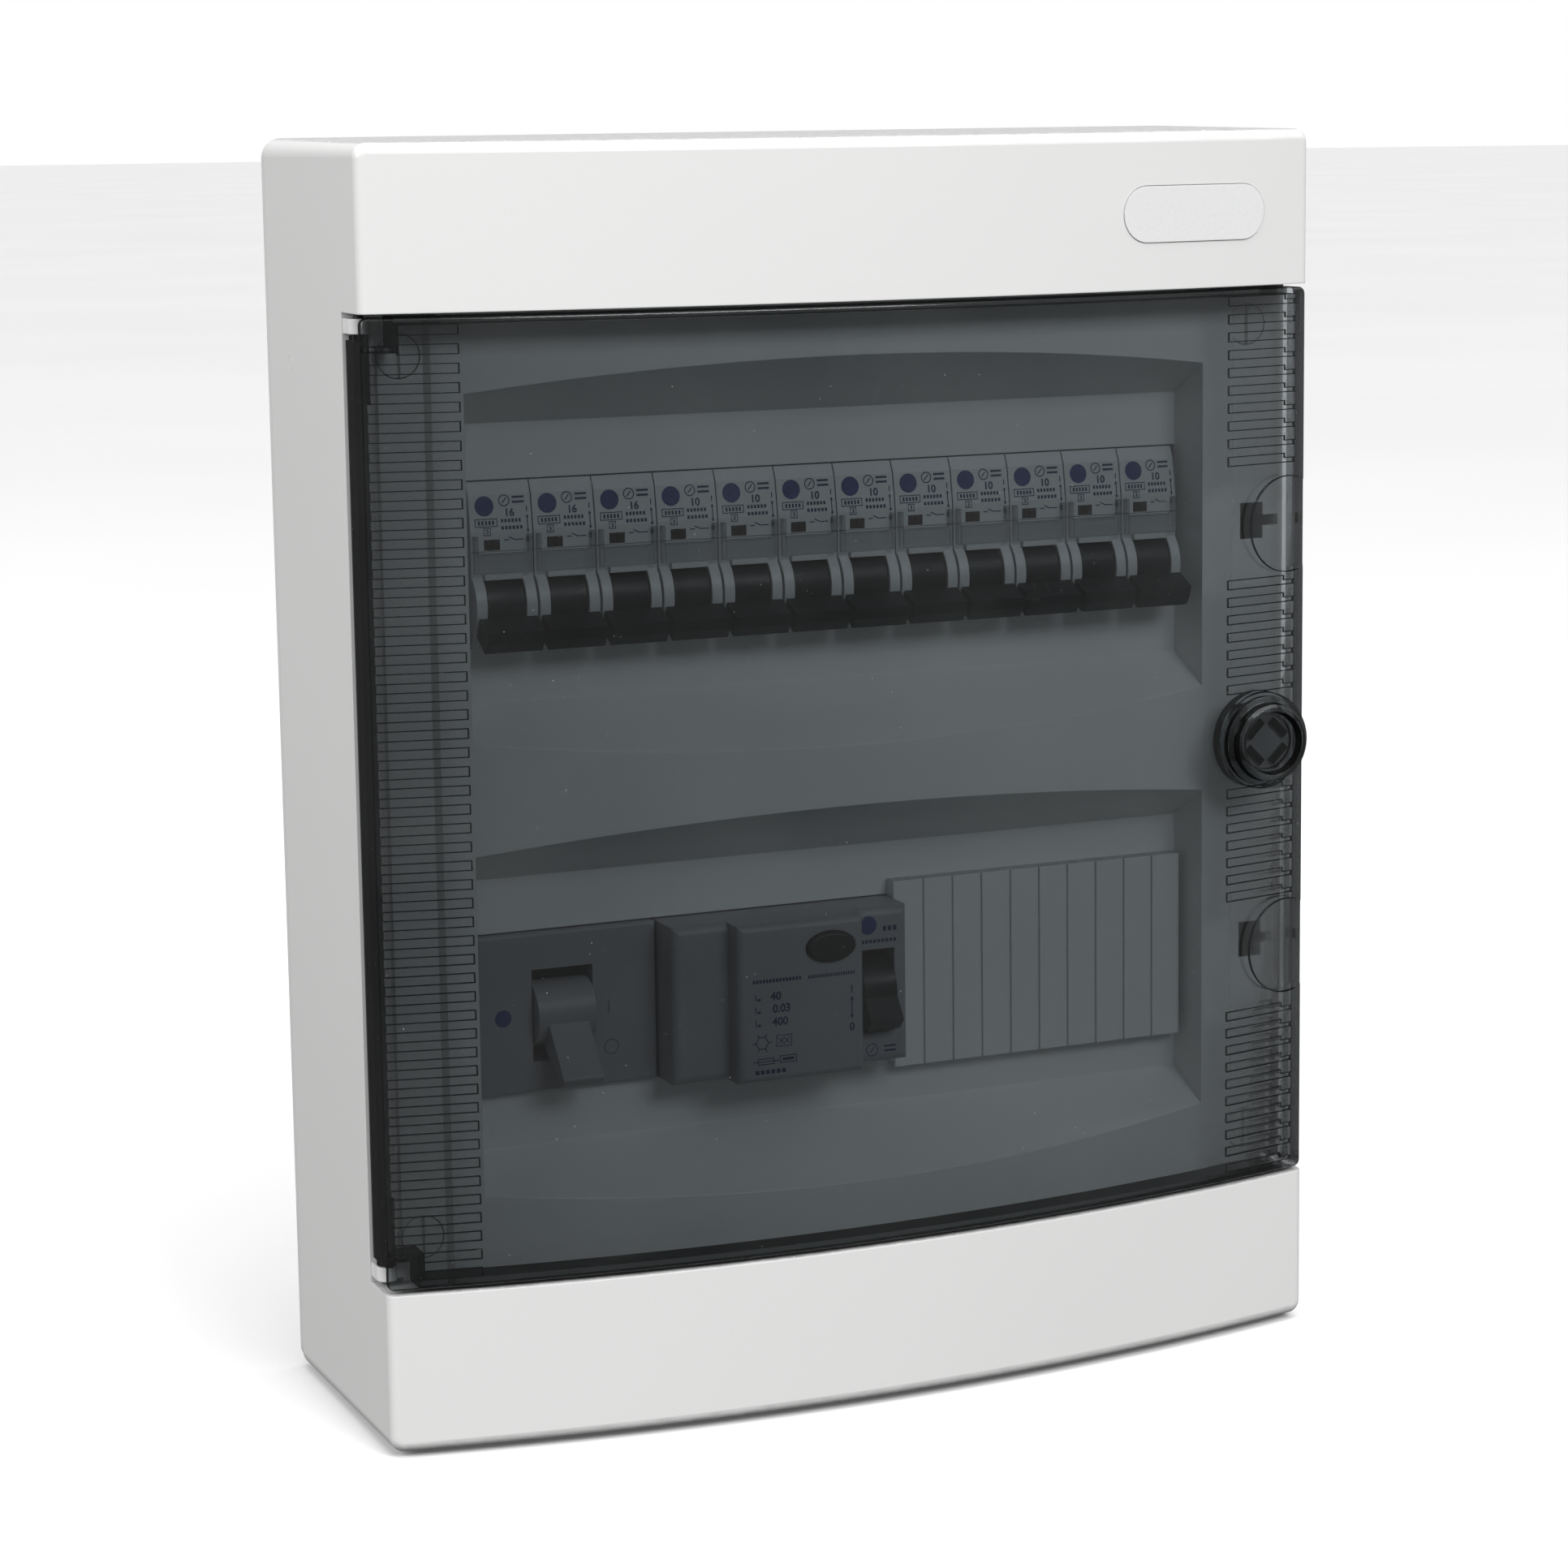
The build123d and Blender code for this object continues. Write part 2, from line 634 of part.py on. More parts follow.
with BuildPart() as breaker_toggle:
    round_along_x((-drum_half_width, drum_half_width), drum_depth, toggle_axis_z, drum_radius)
    round_along_x((-7.2, 7.2), drum_depth, toggle_axis_z, axle_radius)
    low_angle = throw_rest - nose_half_angle
    high_angle = throw_rest + nose_half_angle
    with BuildSketch(Plane.YZ.offset(-drum_half_width)):
        with BuildLine():
            Polyline(
                around_axis(drum_depth, toggle_axis_z, 6.0, low_angle),
                around_axis(drum_depth, toggle_axis_z, 13.0, low_angle + 4),
                around_axis(drum_depth, toggle_axis_z, 13.0, high_angle - 4),
                around_axis(drum_depth, toggle_axis_z, 6.0, high_angle),
                close=True,
            )
        make_face()
    extrude(amount=2 * drum_half_width)
    nose_half_width = 8.2
    with BuildSketch(Plane.YZ.offset(-nose_half_width)):
        with BuildLine():
            Polyline(
                around_axis(drum_depth, toggle_axis_z, nose_inner, low_angle),
                around_axis(drum_depth, toggle_axis_z, nose_outer, low_angle + 5),
                around_axis(drum_depth, toggle_axis_z, nose_outer + 0.3, throw_rest),
                around_axis(drum_depth, toggle_axis_z, nose_outer, high_angle - 5),
                around_axis(drum_depth, toggle_axis_z, nose_inner, high_angle),
                around_axis(drum_depth, toggle_axis_z, nose_inner + 0.3, throw_rest),
                close=True,
            )
        make_face()
    extrude(amount=2 * nose_half_width)

module_centres = [
    (index - (modules_per_row - 1) / 2) * module_width for index in range(modules_per_row)
]
for index, x in enumerate(module_centres):
    number = f"{index + 1:02d}"
    save(breaker_body.part.moved(Location((x, 0, 0))), "mcb_body_" + number)
    save(breaker_toggle.part.moved(Location((x, 0, 0))), "mcb_toggle_" + number)

with BuildPart() as mcb_label_covers:
    for x in module_centres:
        low = row_offset - 2.2
        block((x - 8.2, x + 8.2), (nose_front + 0.05, nose_front + 1.5), (low, row_offset + 3.2))
        for side in (-1, 1):
            post = (x + side * 8.2, x + side * 7.2)
            block(post, (nose_front + 0.05, nose_front + 1.9), (low, row_offset + 8.0))
save(mcb_label_covers.part, "mcb_label_covers")

# ================================================================ main switch
switch_left = -109.0
switch_right = -56.5
switch_face = 70.5
handle_x = -84.3
handle_pocket_half = 8.9
handle_depth = 66.0
handle_rise = -0.9
handle_drum_radius = 9.0
handle_axis_z = -row_offset + handle_rise
switch_nose = ((switch_face, nose_half_height), (switch_face, -nose_half_height))

with BuildPart() as main_switch_body:
    with BuildSketch(Plane.YZ.offset(switch_left)):
        with BuildLine():
            Polyline(*[(y, z - row_offset) for y, z in device_profile(switch_nose)], close=True)
        make_face()
    extrude(amount=switch_right - switch_left)
    nose_edges = main_switch_body.edges().filter_by_position(Axis.Y, -switch_face - 0.1, -switch_face + 0.1)
    fillet(nose_edges, radius=0.8)
    handle_span = (handle_x - handle_pocket_half, handle_x + handle_pocket_half)
    pocket_span = (handle_axis_z - 13.0, handle_axis_z + 13.0)
    block(handle_span, (54.5, 75), pocket_span, Mode.SUBTRACT)
    axle_span = (handle_span[0] - 2.2, handle_span[1] + 2.2)
    round_along_x(axle_span, handle_depth, handle_axis_z, 2.0 + axle_fit, Mode.SUBTRACT)
    for x in (-100.3, -82.8, -65.2):
        for side in (-1, 1):
            round_along_depth(x, -row_offset + side * well_z, well_radius + 0.4, (46, 70), Mode.SUBTRACT)
            mouth = (-row_offset + side * 26, -row_offset + side * (body_half_height + 1))
            block((x - 5, x + 5), (36, 47), mouth, Mode.SUBTRACT)
save(main_switch_body.part, "main_switch_body")

lever_angle = -40.0
with BuildPart() as main_switch_handle:
    drum_span = (handle_x - handle_pocket_half + 0.4, handle_x + handle_pocket_half - 0.4)
    round_along_x(drum_span, handle_depth, handle_axis_z, handle_drum_radius)
    round_along_x((drum_span[0] - 2.2, drum_span[1] + 2.2), handle_depth, handle_axis_z, 2.0)
    lever_left = handle_x - 5.6
    with BuildSketch(Plane.YZ.offset(lever_left)):
        with BuildLine():
            Polyline(
                around_axis(handle_depth, handle_axis_z, handle_drum_radius - 1, lever_angle - 30),
                around_axis(handle_depth, handle_axis_z, 25.3, lever_angle - 5),
                around_axis(handle_depth, handle_axis_z, 25.5, lever_angle + 3),
                around_axis(handle_depth, handle_axis_z, handle_drum_radius, lever_angle + 28),
                close=True,
            )
        make_face()
    extrude(amount=11.8)
    fillet(main_switch_handle.edges().filter_by(Axis.X).sort_by(Axis.Y)[:2], radius=1.2)
    bore_span = (drum_span[0] - 0.1, drum_span[0] + 1.4)
    for angle, radius in ((60, 4.6), (-120, 4.6)):
        y, z = around_axis(handle_depth, handle_axis_z, radius, angle)
        round_along_x(bore_span, -y, z, 1.9, Mode.SUBTRACT)
save(main_switch_handle.part, "main_switch_handle")

# ================================================================ residual current device
rcd_left = -56.0
rcd_right = 15.5
rcd_face = 82.5
rcd_raised_left = -39.4
rcd_raised_right = -1.2
rcd_raised_face = 89.5
rcd_toggle_x = 5.8
rcd_axis_depth = 76.0
rcd_axis_z = -row_offset - 1.5
rcd_drum_radius = 9.3
rcd_drum_half = 5.0
rcd_nose = ((rcd_face, nose_half_height), (rcd_face, -nose_half_height))
button_x = -11.5
button_z = -row_offset + 14.5
button_half_width = 7.3
button_half_height = 4.2
button_travel = 2.0
button_stand = 1.6
button_floor = 83.0

with BuildPart() as rcd_body:
    with BuildSketch(Plane.YZ.offset(rcd_left)):
        with BuildLine():
            Polyline(*[(y, z - row_offset) for y, z in device_profile(rcd_nose)], close=True)
        make_face()
    extrude(amount=rcd_right - rcd_left)
    face_edges = rcd_body.edges().filter_by_position(Axis.Y, -rcd_face - 0.1, -rcd_face + 0.1)
    fillet(face_edges, radius=2.5)
    raised_z = (-row_offset - nose_half_height, -row_offset + nose_half_height)
    block((rcd_raised_left, rcd_raised_right), (rcd_face - 4, rcd_raised_face), raised_z)
    raised_edges = rcd_body.edges().filter_by_position(
        Axis.Y, -rcd_raised_face - 0.1, -rcd_raised_face + 0.1
    )
    fillet(raised_edges, radius=2.0)
    toggle_slot = (rcd_toggle_x - rcd_drum_half - 0.4, rcd_toggle_x + rcd_drum_half + 0.4)
    slot_z = (rcd_axis_z - 12.0, rcd_axis_z + 12.0)
    block(toggle_slot, (64, 95), slot_z, Mode.SUBTRACT)
    bearing = (toggle_slot[0] - 2.0, toggle_slot[1] + 2.0)
    round_along_x(bearing, rcd_axis_depth, rcd_axis_z, axle_radius + axle_fit, Mode.SUBTRACT)
    with BuildSketch(Plane.XZ.offset(button_floor)):
        with Locations((button_x, button_z)):
            Ellipse(button_half_width + 0.35, button_half_height + 0.35)
    extrude(amount=10, mode=Mode.SUBTRACT)
    for x in (-47, -29, -11, 7):
        for side in (-1, 1):
            round_along_depth(x, -row_offset + side * well_z, well_radius + 0.4, (46, 70), Mode.SUBTRACT)
            mouth = (-row_offset + side * 26, -row_offset + side * (body_half_height + 1))
            block((x - 5, x + 5), (36, 47), mouth, Mode.SUBTRACT)
save(rcd_body.part, "rcd_body")

rcd_throw_rest = -32.0
with BuildPart() as rcd_toggle:
    drum_span = (rcd_toggle_x - rcd_drum_half, rcd_toggle_x + rcd_drum_half)
    round_along_x(drum_span, rcd_axis_depth, rcd_axis_z, rcd_drum_radius)
    round_along_x((drum_span[0] - 2.2, drum_span[1] + 2.2), rcd_axis_depth, rcd_axis_z, axle_radius)
    with BuildSketch(Plane.YZ.offset(drum_span[0])):
        with BuildLine():
            Polyline(
                around_axis(rcd_axis_depth, rcd_axis_z, rcd_drum_radius - 1, rcd_throw_rest - 22),
                around_axis(rcd_axis_depth, rcd_axis_z, 15.0, rcd_throw_rest - 12),
                around_axis(rcd_axis_depth, rcd_axis_z, 15.4, rcd_throw_rest + 4),
                around_axis(rcd_axis_depth, rcd_axis_z, rcd_drum_radius - 0.3, rcd_throw_rest + 26),
                close=True,
            )
        make_face()
    extrude(amount=2 * rcd_drum_half)
save(rcd_toggle.part, "rcd_toggle")

with BuildPart() as rcd_test_button:
    with BuildSketch(Plane.XZ.offset(button_floor + button_travel + 0.3)):
        with Locations((button_x, button_z)):
            Ellipse(button_half_width, button_half_height)
    extrude(amount=rcd_raised_face + button_stand - button_floor - button_travel - 0.3)
    fillet(rcd_test_button.faces().sort_by(Axis.Y)[0].edges(), radius=0.9)
save(rcd_test_button.part, "rcd_test_button")

# ================================================================ blanking strip
strip_left = 15.8
strip_right = 108.6
strip_half_height = 27.2
strip_front = 72.3
strip_segments = 10
strip_wall = 1.8

with BuildPart() as blank_strip:
    strip_z = (-row_offset - strip_half_height, -row_offset + strip_half_height)
    block((strip_left, strip_right), (floor_depth + 0.05, strip_front), strip_z)
    inner_z = (strip_z[0] + strip_wall, strip_z[1] - strip_wall)
    inner_x = (strip_left + strip_wall, strip_right - strip_wall)
    block(inner_x, (floor_depth - 1, strip_front - strip_wall), inner_z, Mode.SUBTRACT)
    segment = (strip_right - strip_left) / strip_segments
    for index in range(1, strip_segments):
        x = strip_left + index * segment
        block((x - 0.35, x + 0.35), (strip_front - 0.6, strip_front + 1), strip_z, Mode.SUBTRACT)
    for side in (-1, 1):
        hook = (-row_offset + side * 20.4, -row_offset + side * 22.0)
        block((strip_left + 3, strip_right - 3), (61.5, strip_front - 1), hook)
        barb = (-row_offset + side * 21.5, -row_offset + side * 24.0)
        block((strip_left + 3, strip_right - 3), (61.5, cavity_front - 0.4), barb)
save(blank_strip.part, "blank_strip")

# ================================================================ terminals and bars
with BuildPart() as terminal_screws:
    wells = [(x, row_offset) for x in module_centres]
    wells += [(x, -row_offset) for x in (-100.3, -82.8, -65.2, -47, -29, -11, 7)]
    for x, row in wells:
        for side in (-1, 1):
            z = row + side * well_z
            round_along_depth(x, z, 2.6, (48, 62))
            block((x - 0.4, x + 0.4), (61, 63), (z - 3, z + 3), Mode.SUBTRACT)
save(terminal_screws.part, "terminal_screws")

busbar_top = row_offset - body_half_height - 2.5
with BuildPart() as busbar_comb:
    block((-104, 104), (41, 43), (busbar_top - 6, busbar_top))
    for x in module_centres:
        block((x - 2.4, x + 2.4), (41, 43), (busbar_top - 1, row_offset - 30.5))
save(busbar_comb.part, "busbar_comb")

bar_half_length = 62.0
bar_rear = 24.0
bar_front = 32.0
bar_ways = 11
for name, bar_z in (("neutral_bar", 154.0), ("earth_bar", -154.0)):
    with BuildPart() as bar:
        block((-bar_half_length, bar_half_length), (bar_rear, bar_front), (bar_z - 4, bar_z + 4))
        with Locations((0, -(bar_rear + bar_front) / 2, bar_z)):
            with GridLocations(10, 1, bar_ways, 1):
                Cylinder(2.3, 20, mode=Mode.SUBTRACT)
    save(bar.part, name)

with BuildPart() as terminal_bar_holders:
    for bar_z in (154.0, -154.0):
        for side in (-1, 1):
            x = side * (bar_half_length - 4)
            block((x - 5, x + 5), (wall, bar_rear), (bar_z - 7, bar_z + 7))
            block((x - 5, x + 5), (bar_rear, bar_front), (bar_z + 4, bar_z + 7))
            block((x - 5, x + 5), (bar_rear, bar_front), (bar_z - 7, bar_z - 4))
save(terminal_bar_holders.part, "terminal_bar_holders")

with BuildPart() as bar_screws:
    for bar_z in (154.0, -154.0):
        for index in range(bar_ways):
            x = (index - (bar_ways - 1) / 2) * 10.0
            round_along_depth(x, bar_z, 2.4, (bar_front, bar_front + 3.0))
            block((x - 0.4, x + 0.4), (bar_front + 2, bar_front + 4), (bar_z - 3, bar_z + 3), Mode.SUBTRACT)
save(bar_screws.part, "bar_screws")
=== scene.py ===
import json
import math

import bmesh
import bpy
from mathutils import Matrix, Vector
from mathutils.bvhtree import BVHTree


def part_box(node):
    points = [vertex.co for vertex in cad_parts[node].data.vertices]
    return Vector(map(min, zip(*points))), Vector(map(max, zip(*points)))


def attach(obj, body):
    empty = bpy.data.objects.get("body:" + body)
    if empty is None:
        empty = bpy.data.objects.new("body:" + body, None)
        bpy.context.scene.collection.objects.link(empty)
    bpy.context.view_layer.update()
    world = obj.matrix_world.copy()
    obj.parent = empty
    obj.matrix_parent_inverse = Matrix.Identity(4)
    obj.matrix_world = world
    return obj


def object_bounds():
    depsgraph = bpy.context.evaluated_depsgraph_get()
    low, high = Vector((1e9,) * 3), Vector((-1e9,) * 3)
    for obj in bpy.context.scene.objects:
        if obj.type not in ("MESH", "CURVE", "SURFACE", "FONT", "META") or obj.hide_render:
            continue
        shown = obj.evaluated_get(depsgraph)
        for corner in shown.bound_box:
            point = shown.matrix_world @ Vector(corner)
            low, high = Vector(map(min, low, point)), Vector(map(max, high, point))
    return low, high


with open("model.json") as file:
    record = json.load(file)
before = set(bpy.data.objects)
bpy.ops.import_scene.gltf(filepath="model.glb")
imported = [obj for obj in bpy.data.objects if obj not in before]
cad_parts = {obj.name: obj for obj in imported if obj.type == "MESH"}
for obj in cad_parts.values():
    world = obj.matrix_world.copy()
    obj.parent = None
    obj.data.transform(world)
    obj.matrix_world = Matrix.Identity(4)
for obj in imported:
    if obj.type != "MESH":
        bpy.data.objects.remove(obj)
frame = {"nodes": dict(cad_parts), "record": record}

cad_low, cad_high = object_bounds()
MM = 0.001
ROWS = (62.5, -62.5)        # height of each row of devices, mm


# ---------------------------------------------------------------- camera, floor and light
def aim(yaw, pitch, roll):
    """Axes of a camera that looks along +Y, turned by yaw to the right, pitch up and roll."""
    forward = Vector(
        (
            math.sin(yaw) * math.cos(pitch),
            math.cos(yaw) * math.cos(pitch),
            math.sin(pitch),
        )
    )
    level = Vector((math.cos(yaw), -math.sin(yaw), 0))
    above = level.cross(forward)
    right = level * math.cos(roll) + above * math.sin(roll)
    up = above * math.cos(roll) - level * math.sin(roll)
    return Matrix((right, up, -forward)).transposed()


def make_camera():
    data = bpy.data.cameras.new("camera")
    data.sensor_width = 36
    data.lens = 85.77
    data.shift_x = -0.0081
    data.shift_y = -0.0750
    camera = bpy.data.objects.new("camera", data)
    turned = aim(math.radians(23.19), math.radians(-8.30), math.radians(-0.76))
    camera.matrix_world = Matrix.Translation((-0.4211, -1.0242, 0.1799)) @ turned.to_4x4()
    bpy.context.scene.collection.objects.link(camera)
    bpy.context.scene.camera = camera


def make_world():
    """A plain studio: soft light from all round, stronger from above, on a white ground."""
    world = bpy.data.worlds.new("studio")
    world.use_nodes = True
    tree = world.node_tree
    tree.nodes.clear()
    place = tree.nodes.new("ShaderNodeTexCoord")
    split = tree.nodes.new("ShaderNodeSeparateXYZ")
    height = tree.nodes.new("ShaderNodeMapRange")
    height.inputs["From Min"].default_value = -0.5
    height.inputs["From Max"].default_value = 0.8
    height.inputs["To Min"].default_value = 0.10
    height.inputs["To Max"].default_value = 0.52
    seen = tree.nodes.new("ShaderNodeLightPath")
    level = tree.nodes.new("ShaderNodeMix")
    level.inputs[3].default_value = 1.0
    background = tree.nodes.new("ShaderNodeBackground")
    background.inputs["Color"].default_value = (1, 1, 1, 1)
    output = tree.nodes.new("ShaderNodeOutputWorld")
    tree.links.new(place.outputs["Generated"], split.inputs[0])
    tree.links.new(split.outputs["Z"], height.inputs["Value"])
    tree.links.new(seen.outputs["Is Camera Ray"], level.inputs[0])
    tree.links.new(height.outputs[0], level.inputs[2])
    tree.links.new(level.outputs[0], background.inputs["Strength"])
    tree.links.new(background.outputs[0], output.inputs["Surface"])
    bpy.context.scene.world = world


def soft_light(name, place, target, size, power, colour=(1, 1, 1)):
    data = bpy.data.lights.new(name, "AREA")
    data.shape = "RECTANGLE"
    data.size, data.size_y = size
    data.energy = power
    data.color = colour
    light = bpy.data.objects.new(name, data)
    light.location = place
    light.rotation_euler = (Vector(target) - Vector(place)).to_track_quat("-Z", "Y").to_euler()
    bpy.context.scene.collection.objects.link(light)


def overhead_light():
    """A very wide lamp high above, which keeps the ground evenly pale far behind the box."""
    data = bpy.data.lights.new("overhead", "SUN")
    data.energy = 1.7
    data.angle = math.radians(60)
    light = bpy.data.objects.new("overhead", data)
    light.rotation_euler = (math.radians(16), math.radians(8), 0)
    bpy.context.scene.collection.objects.link(light)


def make_floor():
    """A wide pale disc that the box stands on, which throws no light back up at it."""
    radius = 40.0
    sides = 96
    mesh = bpy.data.meshes.new("floor")
    rim = [
        (radius * math.cos(math.tau * i / sides), radius * math.sin(math.tau * i / sides), 0)
        for i in range(sides)
    ]
    mesh.from_pydata(rim, [], [tuple(range(sides))])
    floor = bpy.data.objects.new("floor", mesh)
    floor.location = (0, 0, cad_low.z - 0.0005)
    bpy.context.scene.collection.objects.link(floor)
    mesh.materials.append(floor_material())
    floor.visible_diffuse = False
    floor.visible_glossy = False
    floor.visible_shadow = False


# ---------------------------------------------------------------- material building
class Shader:
    """Builds one node material, with short calls for the nodes that the materials share."""

    def __init__(self, name):
        self.material = bpy.data.materials.new(name)
        self.material.use_nodes = True
        self.tree = self.material.node_tree
        self.tree.nodes.clear()
        self.place = self.add("ShaderNodeTexCoord").outputs["Object"]

    def add(self, kind, sockets=None, **settings):
        made = self.tree.nodes.new(kind)
        for key, value in settings.items():
            setattr(made, key, value)
        for key, value in (sockets or {}).items():
            if isinstance(value, bpy.types.NodeSocket):
                self.tree.links.new(value, made.inputs[key])
            else:
                made.inputs[key].default_value = value
        return made

    def stretched(self, factors, turn=(0, 0, 0)):
        """Object coordinates scaled by a factor along each axis, after a turn in degrees."""
        sockets = {
            "Vector": self.place,
            "Scale": factors,
            "Rotation": [math.radians(a) for a in turn],
        }
        return self.add("ShaderNodeMapping", sockets).outputs[0]

    def noise(self, scale, detail=3.0, place=None, roughness=0.5, distortion=0.0):
        sockets = {
            "Vector": place or self.place,
            "Scale": scale,
            "Detail": detail,
            "Roughness": roughness,
            "Distortion": distortion,
        }
        return self.add("ShaderNodeTexNoise", sockets).outputs[0]

    def cells(self, scale, place=None, randomness=1.0):
        """Distance to the nearest of scattered points, about scale points to a metre."""
        sockets = {"Vector": place or self.place, "Scale": scale, "Randomness": randomness}
        return self.add("ShaderNodeTexVoronoi", sockets).outputs["Distance"]

    def span(self, value, low, high, to_low=0.0, to_high=1.0, smooth=False):
        """value from low..high carried to to_low..to_high, held at the ends."""
        sockets = {
            "Value": value,
            "From Min": low,
            "From Max": high,
            "To Min": to_low,
            "To Max": to_high,
        }
        kind = "SMOOTHSTEP" if smooth else "LINEAR"
        return self.add("ShaderNodeMapRange", sockets, interpolation_type=kind).outputs[0]

    def sum(self, a, b, operation="ADD"):
        return self.add("ShaderNodeMath", {0: a, 1: b}, operation=operation).outputs[0]

    def times(self, a, b):
        return self.sum(a, b, "MULTIPLY")

    def blend(self, share, a, b):
        """Colour a where share is 0, colour b where it is 1."""
        sockets = {0: share, 6: rgba(a), 7: rgba(b)}
        return self.add("ShaderNodeMix", sockets, data_type="RGBA").outputs[2]

    def bumped(self, height, distance, strength=1.0, normal=None):
        sockets = {"Height": height, "Distance": distance, "Strength": strength}
        if normal is not None:
            sockets["Normal"] = normal
        return self.add("ShaderNodeBump", sockets).outputs[0]

    def softened(self, radius):
        """The surface's normal with its sharp edges rounded by radius."""
        return self.add("ShaderNodeBevel", {"Radius": radius}, samples=4).outputs[0]

    def facing_up(self, low, high):
        normal = self.add("ShaderNodeNewGeometry").outputs["Normal"]
        up = self.add("ShaderNodeSeparateXYZ", {0: normal}).outputs["Z"]
        return self.span(up, low, high)

    def principled(self, sockets):
        return self.add("ShaderNodeBsdfPrincipled", sockets).outputs[0]

    def done(self, surface):
        self.add("ShaderNodeOutputMaterial", {"Surface": surface})
        return self.material


def rgba(colour):
    """A colour of three numbers with an opaque alpha; a socket stays as it is."""
    return colour if isinstance(colour, bpy.types.NodeSocket) else (*colour, 1.0)


def shade(colour, factor):
    return tuple(channel * factor for channel in colour)


def floor_material():
    s = Shader("floor_paper")
    tone = s.span(s.noise(1.3, 2), 0.3, 0.7)
    colour = s.blend(tone, (0.90, 0.90, 0.90), (0.93, 0.93, 0.93))
    fibres = s.bumped(s.noise(900, 4), 0.0002, 0.3)
    return s.done(s.principled({"Base Color": colour, "Roughness": 0.8, "Normal": fibres}))


def moulded_plastic(name, colour, roughness, grain=0.00002, grain_scale=1800, edge=0.0004, dust=0.25):
    """Injection-moulded plastic: spark grain, faint flow marks, dust specks and rubbed edges."""
    s = Shader(name)
    flow = s.span(s.noise(14, 4, distortion=0.6), 0.3, 0.7)
    tone = s.blend(flow, shade(colour, 0.965), colour)
    pores = s.noise(grain_scale, 3)
    tone = s.blend(s.span(pores, 0.25, 0.6, 0.35, 0.0), tone, shade(colour, 0.82))
    specks = s.span(s.cells(420), 0.055, 0.075, dust, 0.0)
    tone = s.blend(specks, tone, (0.62, 0.60, 0.56))
    smears = s.span(s.noise(38, 5, place=s.stretched((1, 1, 0.35), (0, 25, 0))), 0.42, 0.68)
    rough = s.span(s.times(smears, smears), 0, 1, roughness, roughness + 0.12)
    normal = s.bumped(pores, grain, 0.5, s.softened(edge))
    return s.done(s.principled({"Base Color": tone, "Roughness": rough, "Normal": normal}))


def satin_black(name):
    """Smooth satin black plastic, a little greyer where fingers have rubbed it."""
    s = Shader(name)
    rubbed = s.span(s.noise(120, 4, distortion=0.4), 0.45, 0.7)
    tone = s.blend(rubbed, (0.010, 0.010, 0.011), (0.020, 0.020, 0.021))
    specks = s.span(s.cells(520), 0.05, 0.07, 0.3, 0.0)
    tone = s.blend(specks, tone, (0.3, 0.3, 0.29))
    rough = s.span(s.noise(90, 4), 0.35, 0.7, 0.34, 0.46)
    normal = s.bumped(s.noise(400, 2), 0.000004, 0.3)
    sockets = {"Base Color": tone, "Roughness": rough, "Normal": normal, "Specular IOR Level": 0.35}
    return s.done(s.principled(sockets))


def cover_material():
    """The cover's gloss white: scuffs on the sides, and painted shade where it faces up, a mottled dark grey with
    paler flecks.
    """
    white = (0.80, 0.80, 0.795)
    s = Shader("cover_white")
    flow = s.span(s.noise(7, 4, distortion=0.8), 0.3, 0.7)
    tone = s.blend(flow, shade(white, 0.988), white)
    pores = s.noise(1500, 3)
    specks = s.span(s.cells(210), 0.03, 0.05, 0.25, 0.0)
    tone = s.blend(specks, tone, (0.60, 0.58, 0.54))
    # Painted shade: faces that look up turn a mottled dark grey, standing in for the dark shade and reflection
    # that the top face shows.
    shade_mottle = s.span(s.noise(260, 7, roughness=0.75), 0.36, 0.70, 0.50, 0.95)
    upfacing_shade = s.times(s.facing_up(0.87, 0.93), shade_mottle)
    tone = s.blend(upfacing_shade, tone, (0.33, 0.335, 0.33))
    flecks = s.times(s.facing_up(0.87, 0.93), s.span(s.noise(900, 2), 0.66, 0.72))
    tone = s.blend(flecks, tone, (0.85, 0.85, 0.84))
    scuffs = s.noise(60, 6, place=s.stretched((1, 0.25, 1), (20, 0, 0)), roughness=0.65)
    rough = s.span(scuffs, 0.35, 0.8, 0.21, 0.27)
    rough = s.sum(rough, s.times(upfacing_shade, 0.45))
    normal = s.bumped(pores, 0.00001, 0.4, s.softened(0.0005))
    sockets = {"Base Color": tone, "Roughness": rough, "Normal": normal}
    return s.done(s.principled(sockets))


